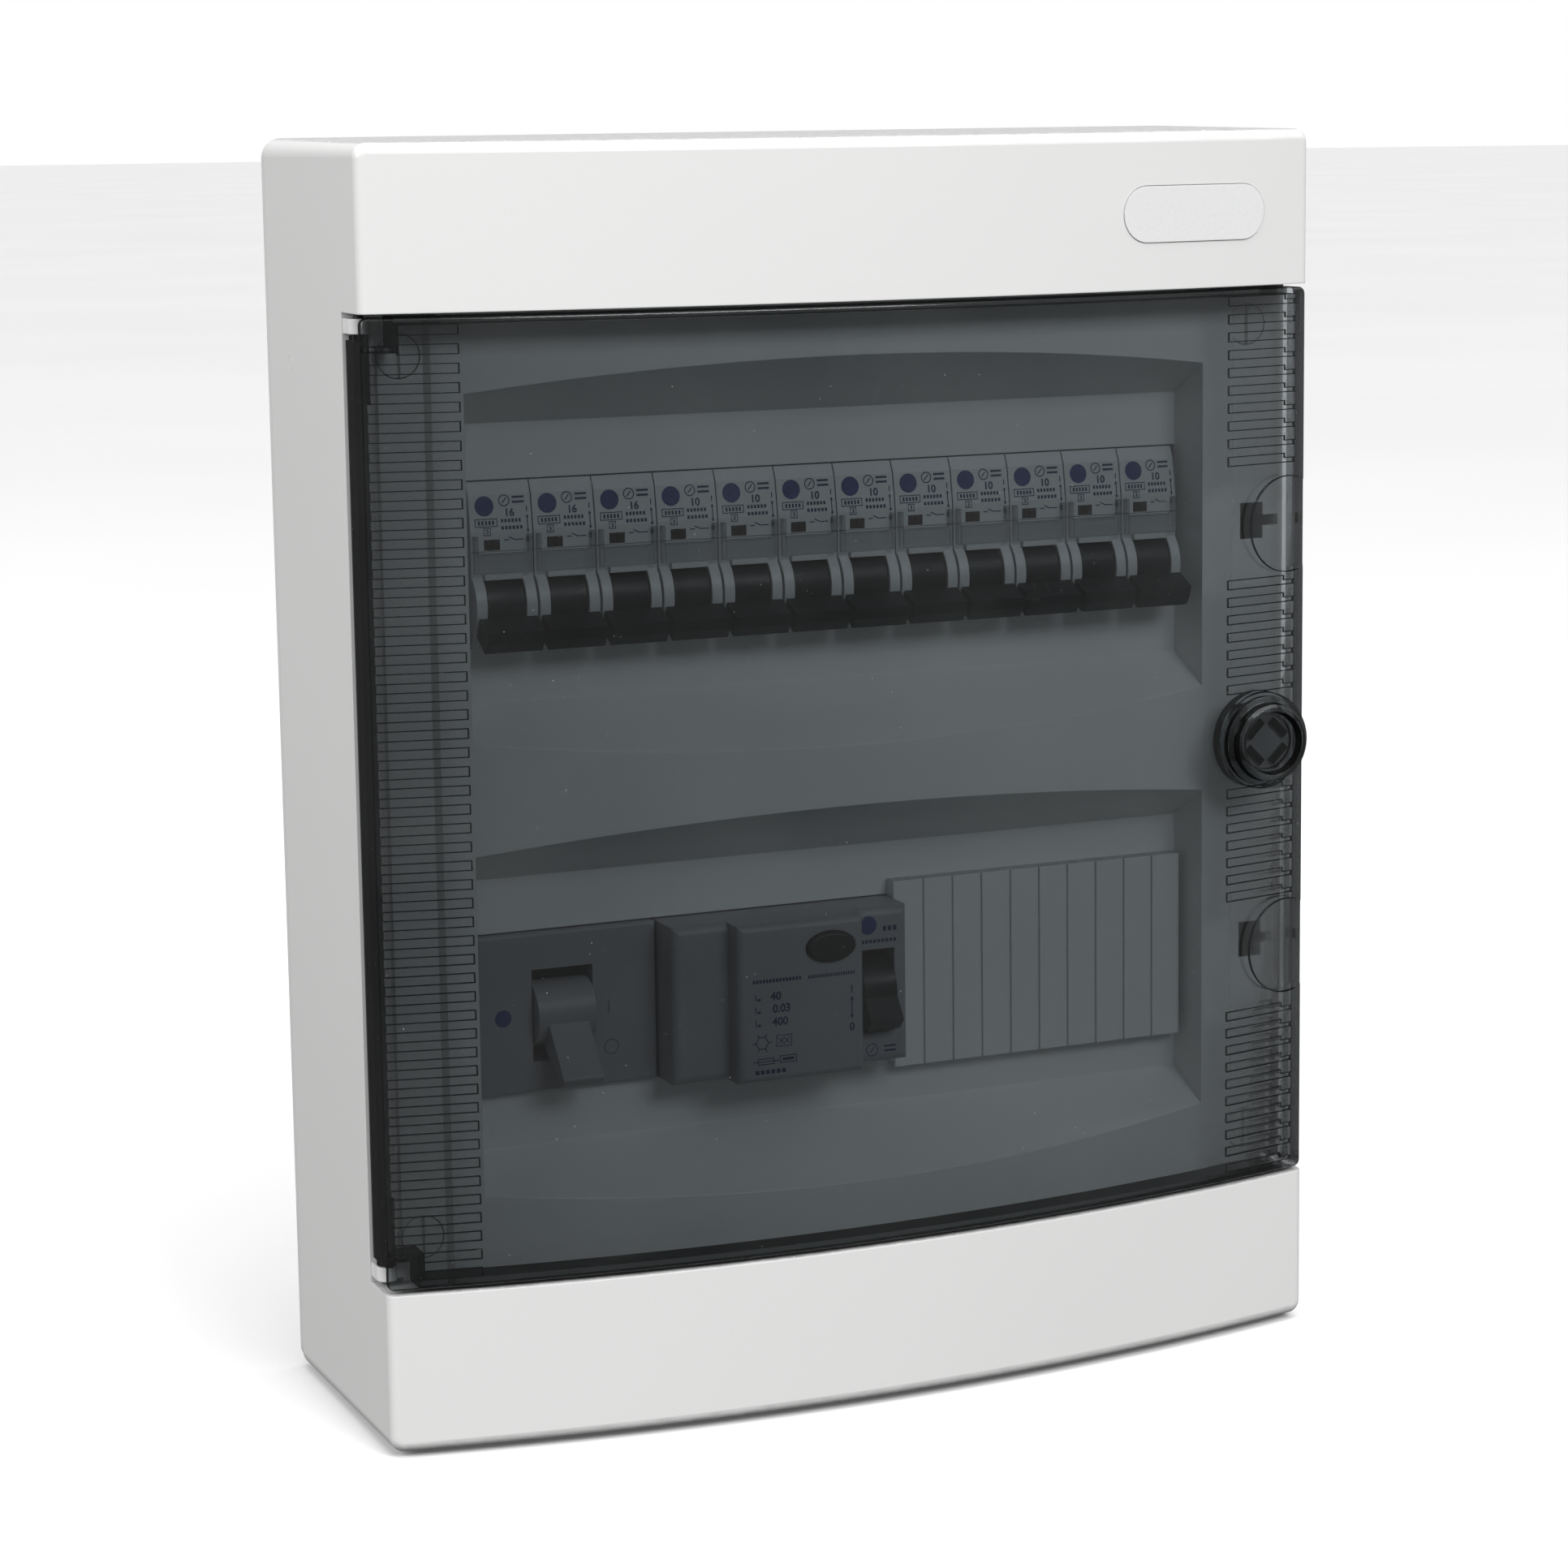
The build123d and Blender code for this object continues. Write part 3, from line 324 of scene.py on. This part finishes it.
def smoked_material(name, tint, gloss=1.0, specks=0.5, edge_on=0.2, wall=0.05, clear_side=1.0):
    """Transparent smoked plastic with dust specks, lint and hairline scratches on it.

    A face seen nearly edge-on lets only a share of the light through, edge_on of it, and so
    does one that runs front to back, wall of it, because the plastic behind it is deep. The
    inner face of a side at X = clear_side is spared, because it is seen through the front.
    """
    s = Shader(name)
    depth = s.span(s.noise(11, 2), 0.3, 0.7)
    through = s.blend(depth, shade(tint, 0.985), tint)
    grazing = s.add("ShaderNodeLayerWeight", {"Blend": 0.5}).outputs["Facing"]
    through = s.blend(s.span(grazing, 0.5, 0.9), through, shade(tint, edge_on))
    own_normal = s.add("ShaderNodeTexCoord").outputs["Normal"]
    frontward = s.sum(s.add("ShaderNodeSeparateXYZ", {0: own_normal}).outputs["Y"], 0, "ABSOLUTE")
    across = s.add("ShaderNodeSeparateXYZ", {0: s.place}).outputs["X"]
    off_side = s.sum(s.sum(across, clear_side, "SUBTRACT"), 0, "ABSOLUTE")
    walls = s.times(s.span(frontward, 0.30, 0.75, 1.0, 0.0), s.span(off_side, 0.0005, 0.0007, 0.2))
    through = s.blend(walls, through, shade(tint, wall))
    clear = s.add("ShaderNodeBsdfTransparent", {"Color": through}).outputs[0]
    scratch_field = s.noise(45, 2, place=s.stretched((0.5, 1, 6), (0, 35, 0)), distortion=1.5)
    hair = s.span(s.sum(scratch_field, 0.5, "SUBTRACT"), -0.0016, 0.0016)
    hair = s.times(s.times(hair, s.sum(1.0, hair, "SUBTRACT")), 4.0)
    patches = s.span(s.noise(9, 3), 0.58, 0.72)
    scratches = s.times(hair, s.times(patches, 0.25))
    grains = s.span(s.cells(300), 0.035, 0.06, specks, 0.0)
    grains = s.times(grains, s.span(s.noise(60, 2), 0.45, 0.6))
    haze = s.span(s.noise(26, 5), 0.35, 0.75, 0.0, 0.012)
    dust = s.sum(s.sum(scratches, grains), haze)
    powder = s.add("ShaderNodeBsdfDiffuse", {"Color": (0.62, 0.62, 0.60, 1)}).outputs[0]
    body = s.add("ShaderNodeMixShader", {0: dust, 1: clear, 2: powder}).outputs[0]
    rough = s.span(s.noise(50, 4), 0.35, 0.7, 0.04, 0.11)
    normal = s.bumped(s.noise(16, 2), 0.0002, 0.15, s.softened(0.0003))
    sheen = s.add("ShaderNodeBsdfGlossy", {"Color": (1, 1, 1, 1), "Roughness": rough, "Normal": normal})
    mirror = s.add("ShaderNodeFresnel", {"IOR": 1.45, "Normal": normal}).outputs[0]
    share = s.times(s.times(mirror, gloss), s.span(walls, 0, 1, 1.0, 0.35))
    both = s.add("ShaderNodeMixShader", {0: share, 1: body, 2: sheen.outputs[0]})
    return s.done(both.outputs[0])


def metal_material(name, colour, roughness, brush=(1, 1, 12)):
    """Plated or plain metal with brushed lines, tarnish blotches and fine pits."""
    s = Shader(name)
    lines = s.noise(700, 4, place=s.stretched(brush))
    blotches = s.span(s.noise(60, 5), 0.35, 0.7)
    tone = s.blend(blotches, colour, shade(colour, 0.72))
    rough = s.span(lines, 0.3, 0.7, roughness, roughness + 0.18)
    normal = s.bumped(lines, 0.00002, 0.4, s.softened(0.0002))
    sockets = {"Base Color": tone, "Roughness": rough, "Metallic": 1.0, "Normal": normal}
    return s.done(s.principled(sockets))


def ink_material(name, colour):
    """Pad-printed ink, a little thin and broken where it didn't take."""
    s = Shader(name)
    thin = s.span(s.noise(1400, 4), 0.28, 0.5)
    tone = s.blend(thin, tuple(min(1.0, c * 1.4 + 0.02) for c in colour), colour)
    normal = s.bumped(s.noise(2200, 2), 0.00001, 0.5)
    return s.done(s.principled({"Base Color": tone, "Roughness": 0.5, "Normal": normal}))


PAINT = {
    "cover_white": cover_material(),
    "smoked_clear": smoked_material(
        "smoked_clear", (0.685, 0.707, 0.717), gloss=0.9, clear_side=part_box("door")[1].x - 2 * MM
    ),
    "clear_plastic": smoked_material("clear_plastic", (0.95, 0.955, 0.96), 1.0, 0.2, 0.7, 0.8),
    "device_white": moulded_plastic("device_white", (0.62, 0.63, 0.64), 0.38),
    "device_grey": moulded_plastic("device_grey", (0.30, 0.30, 0.318), 0.42),
    "black_plastic": satin_black("black_plastic"),
    "dark_plastic": moulded_plastic("dark_plastic", (0.02, 0.021, 0.023), 0.4),
    "badge": moulded_plastic("badge", (0.84, 0.84, 0.845), 0.16, grain=0.000005),
    "zinc_steel": metal_material("zinc_steel", (0.60, 0.60, 0.57), 0.28),
    "copper": metal_material("copper", (0.76, 0.42, 0.28), 0.25, (1, 12, 12)),
    "brass": metal_material("brass", (0.74, 0.58, 0.28), 0.24, (1, 12, 12)),
}


def lock_insert_material():
    """Dark grey moulding whose raised claws, nearest the front, are black."""
    s = Shader("lock_insert")
    claw_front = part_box("door_lock_cam")[0].y
    depth = s.add("ShaderNodeSeparateXYZ", {0: s.place}).outputs["Y"]
    raised = s.span(depth, claw_front + 0.5 * MM, claw_front + 0.6 * MM, 1.0, 0.0)
    cloudy = s.span(s.noise(150, 4), 0.35, 0.65)
    base = s.blend(cloudy, (0.21, 0.21, 0.22), (0.26, 0.26, 0.27))
    tone = s.blend(raised, base, (0.012, 0.012, 0.013))
    normal = s.bumped(s.noise(1500, 3), 0.00001, 0.4)
    return s.done(s.principled({"Base Color": tone, "Roughness": 0.45, "Normal": normal}))


def paint_cad():
    """Every CAD node takes the material of its slot in the record; the lock's insert its own."""
    for part in frame["record"]["subparts"]:
        mesh = frame["nodes"][part["node"]].data
        mesh.materials.clear()
        mesh.materials.append(PAINT[part["material_slot"]])
    insert = frame["nodes"]["door_lock_cam"].data
    insert.materials.clear()
    insert.materials.append(lock_insert_material())


# ---------------------------------------------------------------- mesh building
def new_piece(name, points, faces, material, body):
    """A mesh of its own, painted, riding on a body."""
    mesh = bpy.data.meshes.new(name)
    mesh.from_pydata(points, [], faces)
    mesh.validate()
    mesh.materials.append(material)
    piece = bpy.data.objects.new(name, mesh)
    bpy.context.scene.collection.objects.link(piece)
    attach(piece, body)
    return piece


def welded(nodes):
    """A working copy of CAD nodes as one mesh, with the vertices that coincide joined."""
    work = bmesh.new()
    for node in nodes:
        work.from_mesh(frame["nodes"][node].data)
    bmesh.ops.remove_doubles(work, verts=work.verts, dist=0.002 * MM)
    return work


def sharp_edges(node, keep, least=50):
    """Both ends of every sharp edge of a CAD node whose middle passes keep."""
    work = welded([node])
    found = []
    for edge in work.edges:
        if len(edge.link_faces) == 2 and edge.calc_face_angle(0) > math.radians(least):
            ends = [vertex.co.copy() for vertex in edge.verts]
            if keep((ends[0] + ends[1]) / 2):
                found.append(ends)
    work.free()
    return found


def line_mesh(name, edges, radius, material, body):
    """Thin four-sided rods along straight edges, gathered in one piece."""
    points, faces = [], []
    for start, end in edges:
        along = (end - start).normalized()
        side = along.orthogonal().normalized()
        other = along.cross(side)
        first = len(points)
        for centre in (start, end):
            for offset in (side, other, -side, -other):
                points.append(centre + offset * radius)
        for i in range(4):
            j = (i + 1) % 4
            faces.append((first + i, first + j, first + 4 + j, first + 4 + i))
        faces.append((first + 3, first + 2, first + 1, first))
        faces.append((first + 4, first + 5, first + 6, first + 7))
    return new_piece(name, points, faces, material, body)


class Marks:
    """Flat printed marks, drawn in millimetres across X and Z, then laid on what is behind."""

    def __init__(self):
        self.points, self.faces = [], []

    def polygon(self, corners):
        first = len(self.points)
        self.points.extend(corners)
        self.faces.append(tuple(range(first, first + len(corners))))

    def bar(self, x, z, width, height):
        half_w, half_h = width / 2, height / 2
        self.polygon(
            [
                (x - half_w, z - half_h),
                (x + half_w, z - half_h),
                (x + half_w, z + half_h),
                (x - half_w, z + half_h),
            ]
        )

    def outline(self, x, z, width, height, line=0.2):
        for side in (-1, 1):
            self.bar(x, z + side * height / 2, width + line, line)
            self.bar(x + side * width / 2, z, line, height - line)

    def ring(self, x, z, radius, line=0.25, stretch=1.0, sides=28):
        for i in range(sides):
            a, b = (math.tau * k / sides for k in (i, i + 1))
            corners = []
            for angle, reach in ((a, radius), (b, radius), (b, radius - line), (a, radius - line)):
                corners.append((x + reach * math.cos(angle), z + stretch * reach * math.sin(angle)))
            self.polygon(corners)

    def disc(self, x, z, radius, sides=28, hoops=4):
        """A filled disc, in narrow hoops so that it can follow a bent surface."""
        for hoop in range(hoops):
            self.ring(x, z, radius * (hoop + 1) / hoops, radius / hoops, sides=sides)

    def slanted(self, start, end, line=0.2):
        (x0, z0), (x1, z1) = start, end
        length = math.hypot(x1 - x0, z1 - z0)
        across = ((z0 - z1) / length * line / 2, (x1 - x0) / length * line / 2)
        self.polygon(
            [
                (x0 - across[0], z0 - across[1]),
                (x1 - across[0], z1 - across[1]),
                (x1 + across[0], z1 + across[1]),
                (x0 + across[0], z0 + across[1]),
            ]
        )

    def arrow(self, x, z_from, z_to, line=0.2, head=0.55):
        """A line with a filled head at z_to."""
        way = 1 if z_to > z_from else -1
        neck = z_to - way * 2 * head
        self.bar(x, (z_from + neck) / 2, line, abs(neck - z_from))
        self.polygon([(x - head, neck), (x + head, neck), (x, z_to)][:: way])

    def digits(self, text, x, z, height):
        """Numerals centred on a point, this tall."""
        curve = bpy.data.curves.new("digits", "FONT")
        curve.body = text
        curve.align_x = "CENTER"
        curve.align_y = "CENTER"
        curve.offset = 0.03
        holder = bpy.data.objects.new("digits", curve)
        bpy.context.scene.collection.objects.link(holder)
        bpy.context.view_layer.update()
        mesh = holder.to_mesh()
        low = min(v.co.y for v in mesh.vertices)
        high = max(v.co.y for v in mesh.vertices)
        scale = height / (high - low)
        first = len(self.points)
        for vertex in mesh.vertices:
            self.points.append((x + vertex.co.x * scale, z + (vertex.co.y - (low + high) / 2) * scale))
        for face in mesh.polygons:
            self.faces.append(tuple(first + i for i in face.vertices))
        holder.to_mesh_clear()
        bpy.data.objects.remove(holder)
        bpy.data.curves.remove(curve)

    def lay_on(self, nodes, name, material, body, lift=0.06):
        """Carries every point back along the depth until it meets the nodes, less a lift."""
        work = welded(nodes)
        tree = BVHTree.FromBMesh(work)
        points = []
        depth = None
        for x, z in self.points:
            hit = tree.ray_cast(Vector((x * MM, -0.3, z * MM)), Vector((0, 1, 0)))[0]
            depth = hit.y if hit is not None else depth
            points.append((x * MM, depth - lift * MM, z * MM))
        work.free()
        return new_piece(name, points, self.faces, material, body)


def middle(node):
    """The middle of a CAD node's box, in millimetres."""
    low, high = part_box(node)
    return (low + high) / 2 / MM


# ---------------------------------------------------------------- door details
def door_line_material():
    """The dark line that a moulded edge makes in smoked plastic."""
    s = Shader("door_edge_line")
    patchy = s.span(s.noise(90, 3), 0.35, 0.65)
    tone = s.blend(patchy, (0.30, 0.32, 0.33), (0.48, 0.50, 0.51))
    clear = s.add("ShaderNodeBsdfTransparent", {"Color": tone}).outputs[0]
    glint = s.add("ShaderNodeBsdfGlossy", {"Color": (0.8, 0.85, 0.9, 1), "Roughness": 0.25})
    mixed = s.add("ShaderNodeMixShader", {0: 0.04, 1: clear, 2: glint.outputs[0]})
    return s.done(mixed.outputs[0])


def door_details():
    """Outlines of the ribs and finger pads, which show as fine lines in the door."""
    low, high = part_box("door")
    inner = 22 * MM

    def on_ribs(p):
        beside = p.x < low.x + 27 * MM or p.x > high.x - 27.5 * MM
        return beside and p.x > low.x + 3 * MM and p.x < high.x - 2.4 * MM and p.y > low.y + 2 * MM

    lines = sharp_edges("door", on_ribs)
    line_mesh("door_rib_lines", lines, 0.16 * MM, door_line_material(), "door")


def tray(points, faces, low, high, front, back):
    """Adds the four walls and the floor of an open tray, all in millimetres."""
    first = len(points)
    for depth in (front, back):
        for x, z in ((low[0], low[1]), (high[0], low[1]), (high[0], high[1]), (low[0], high[1])):
            points.append((x * MM, -depth * MM, z * MM))
    for i in range(4):
        j = (i + 1) % 4
        faces.append((first + i, first + 4 + i, first + 4 + j, first + j))
    faces.append((first + 4, first + 5, first + 6, first + 7))


def latch_slot_shade_trays():
    """Near-black open trays behind the two T-shaped latch slots beside the door's free edge, painted shade that
    makes the slots read dark inside.
    """
    points, faces = [], []
    for row in ROWS:
        tray(points, faces, (126.62, row - 5.18), (133.88, row + 5.18), 76.2, 66.0)
        tray(points, faces, (133.9, row - 1.45), (138.2, row + 1.45), 76.2, 73.2)
    # Painted shade: near-black plastic standing in for the shade inside the slots.
    dark = moulded_plastic("slot_painted_shade", (0.008, 0.008, 0.008), 0.7, dust=0.05)
    new_piece("latch_slot_shade_trays", points, faces, dark, "box")


def ejector_mark():
    """The faint ring that a moulding pin left on the cover's left side."""
    work = welded(["front_cover"])
    tree = BVHTree.FromBMesh(work)
    work.free()
    points, faces = [], []
    sides = 40
    for reach, lift in ((2.0, 0.01), (2.12, 0.07), (2.3, 0.07), (2.42, 0.01)):
        for i in range(sides):
            turn = math.tau * i / sides
            y = -24 + reach * math.cos(turn)
            z = 116 + reach * math.sin(turn)
            hit = tree.ray_cast(Vector((-0.3, y * MM, z * MM)), Vector((1, 0, 0)))[0]
            points.append((hit.x - lift * MM, hit.y, hit.z))
    for ring in range(3):
        for i in range(sides):
            j = (i + 1) % sides
            faces.append([ring * sides + i, ring * sides + j, (ring + 1) * sides + j, (ring + 1) * sides + i])
    new_piece("ejector_mark", points, faces, PAINT["cover_white"], "box")


# ---------------------------------------------------------------- breaker details
MODULES = ["%02d" % (i + 1) for i in range(12)]
WIDE_RATING = 3             # the first breakers carry the larger rating


def breaker_prints():
    """Pad prints on the breakers: a plain roundel, rating, lines of print and a 0 I diagram."""
    marks = Marks()
    roundels = Marks()
    for index, number in enumerate(MODULES):
        body_middle = middle("mcb_body_" + number)
        x, z = body_middle.x, body_middle.z
        roundels.disc(x - 4.4, z + 15.9, 2.7)
        marks.ring(x + 1.3, z + 17.2, 1.6, 0.3)
        marks.slanted((x + 0.7, z + 16.5), (x + 1.9, z + 17.9), 0.32)
        marks.bar(x + 5.3, z + 18.0, 3.4, 0.6)
        marks.bar(x + 5.3, z + 16.7, 3.4, 0.6)
        marks.digits("16" if index < WIDE_RATING else "10", x + 2.6, z + 14.0, 2.2)
        marks.bar(x + 7.6, z + 14.7, 0.3, 1.5)
        marks.outline(x - 4.2, z + 11.4, 6.2, 2.0, 0.24)
        for step in range(5):
            marks.bar(x - 6.2 + step * 1.0, z + 11.4, 0.6, 1.1)
        marks.outline(x - 4.0, z + 9.0, 1.8, 1.9, 0.22)
        marks.digits("3", x - 4.0, z + 9.0, 1.2)
        for row, width in ((11.8, 6.0), (9.9, 6.4)):
            for step in range(6):
                marks.bar(x + 0.4 + step * width / 6, z + row, width / 6 - 0.35, 0.95)
        marks.arrow(x + 7.6, z + 10.8, z + 13.3, 0.28, 0.45)
        marks.arrow(x + 7.6, z + 10.8, z + 8.3, 0.28, 0.45)
        marks.bar(x + 1.4, z + 6.6, 1.4, 0.28)
        marks.slanted((x + 2.1, z + 7.4), (x + 4.0, z + 6.5), 0.28)
        marks.bar(x + 5.2, z + 6.6, 2.2, 0.28)
        marks.digits("0", x + 7.5, z + 6.6, 1.4)
    bodies = ["mcb_body_" + number for number in MODULES]
    blue = ink_material("ink_blue", (0.008, 0.014, 0.075))
    marks.lay_on(bodies, "breaker_prints", blue, "box")
    roundel = ink_material("ink_roundel", (0.015, 0.035, 0.16))
    roundels.lay_on(bodies, "breaker_roundels", roundel, "box")


def indicator_windows():
    """The little brown window in each breaker, half of it over a lighter flag."""
    points, faces = [], []
    low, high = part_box("mcb_body_01")
    for number in MODULES:
        body_middle = middle("mcb_body_" + number)
        work = welded(["mcb_body_" + number])
        tree = BVHTree.FromBMesh(work)
        work.free()
        x, z = body_middle.x - 2.75, body_middle.z + 5.35
        floor = tree.ray_cast(Vector((x * MM, -0.3, z * MM)), Vector((0, 1, 0)))[0].y
        for left, right, rise in ((-2.1, 0.2, 0.35), (0.2, 2.1, 0.5)):
            first = len(points)
            for depth, shrink in ((0.0, 0.0), (rise, 0.0), (rise + 0.1, 0.12)):
                for dx, dz in ((left, -1.3), (right, -1.3), (right, 1.3), (left, 1.3)):
                    inward = (shrink if dx == left else -shrink, shrink if dz < 0 else -shrink)
                    point = (x + dx + inward[0], 0, z + dz + inward[1])
                    points.append((point[0] * MM, floor - depth * MM, point[2] * MM))
            for ring in (0, 4):
                for i in range(4):
                    j = (i + 1) % 4
                    faces.append((first + ring + i, first + ring + j, first + ring + 4 + j, first + ring + 4 + i))
            faces.append(tuple(first + 8 + i for i in range(4)))
    brown = moulded_plastic("indicator_brown", (0.045, 0.04, 0.03), 0.25, grain=0.000004)
    new_piece("indicator_windows", points, faces, brown, "box")


def main_switch_signs():
    """The small off ring and on bar moulded in the main switch's plate."""
    marks = Marks()
    marks.ring(-70.2, -74.4, 2.2, 0.35)
    marks.bar(-70.8, -63.0, 0.5, 3.4)
    tone = moulded_plastic("sign_grey", (0.16, 0.16, 0.17), 0.45)
    marks.lay_on(["main_switch_body"], "main_switch_signs", tone, "box")


def residual_device_prints():
    """Pad prints on the residual current device, as plain lines of print and simple signs."""
    marks = Marks()
    roundel = Marks()
    rows = ((-56.0, -27.9, 14.9, 15), (-56.1, -11.4, 14.4, 19))
    for z, x, width, letters in rows:
        for step in range(letters):
            marks.bar(x - width / 2 + (step + 0.5) * width / letters, z, width / letters - 0.3, 1.0)
    for z, number, width in ((-60.4, "40", 4.0), (-64.0, "0.03", 7.4), (-67.7, "400", 6.4)):
        marks.bar(-34.4, z, 0.3, 1.9)
        marks.bar(-33.4, z - 0.7, 1.0, 0.7)
        marks.digits(number, -30.3 + width / 2, z, 2.4)
    for corner in range(6):
        a, b = (math.tau * k / 6 for k in (corner, corner + 1))
        ends = [(-32.6 + 1.9 * math.cos(t), -73.5 + 1.9 * math.sin(t)) for t in (a, b)]
        marks.slanted(ends[0], ends[1], 0.28)
        marks.slanted(ends[0], (-32.6 + 2.9 * math.cos(a), -73.5 + 2.9 * math.sin(a)), 0.28)
    marks.outline(-26.0, -73.3, 4.6, 3.1, 0.22)
    for side in (-1, 1):
        marks.slanted((-27.7, -73.3 - side * 0.9), (-26.0, -73.3 + side * 0.9), 0.22)
        marks.slanted((-26.0, -73.3 + side * 0.9), (-24.3, -73.3 - side * 0.9), 0.22)
    marks.bar(-31.5, -78.8, 8.0, 0.26)
    marks.outline(-31.5, -78.8, 4.8, 1.6, 0.26)
    marks.outline(-24.8, -78.6, 4.9, 1.9, 0.26)
    marks.bar(-24.8, -78.6, 3.4, 0.8)
    for step in range(6):
        marks.bar(-34.2 + step * 1.6, -81.8, 1.1, 1.2)
    marks.bar(-5.2, -60.8, 0.4, 2.2)
    marks.arrow(-5.2, -66.0, -62.8, 0.35, 0.6)
    marks.arrow(-5.2, -66.0, -69.4, 0.35, 0.6)
    marks.digits("0", -5.2, -71.6, 2.3)
    roundel.disc(3.1, -44.9, 2.7)
    for step in range(3):
        marks.bar(8.2 + step * 1.6, -46.2, 1.1, 1.4)
    for step in range(9):
        marks.bar(1.4 + step * 1.25, -49.6, 0.85, 1.0)
    marks.ring(4.0, -81.0, 1.9, 0.25)
    marks.slanted((3.3, -81.7), (4.7, -80.3), 0.25)
    marks.bar(9.6, -80.3, 3.6, 0.5)
    marks.bar(9.6, -81.6, 3.6, 0.5)
    blue = bpy.data.materials["ink_blue"]
    marks.lay_on(["rcd_body"], "rcd_prints", blue, "box")
    roundel.disc(-101.7, -63.2, 2.4)
    roundel.lay_on(["rcd_body", "main_switch_body"], "device_roundels", bpy.data.materials["ink_roundel"], "box")


make_camera()
make_world()
make_floor()
soft_light("key", (0.5, -1.9, 1.3), (0, -0.05, 0.05), (1.2, 0.9), 31)
soft_light("side_fill", (-2.2, -0.6, 1.2), (-0.1, 0, 0), (1.0, 1.4), 36)
overhead_light()
bpy.context.scene.view_settings.view_transform = "Standard"
paint_cad()
door_details()
latch_slot_shade_trays()
ejector_mark()
breaker_prints()
indicator_windows()
residual_device_prints()
main_switch_signs()
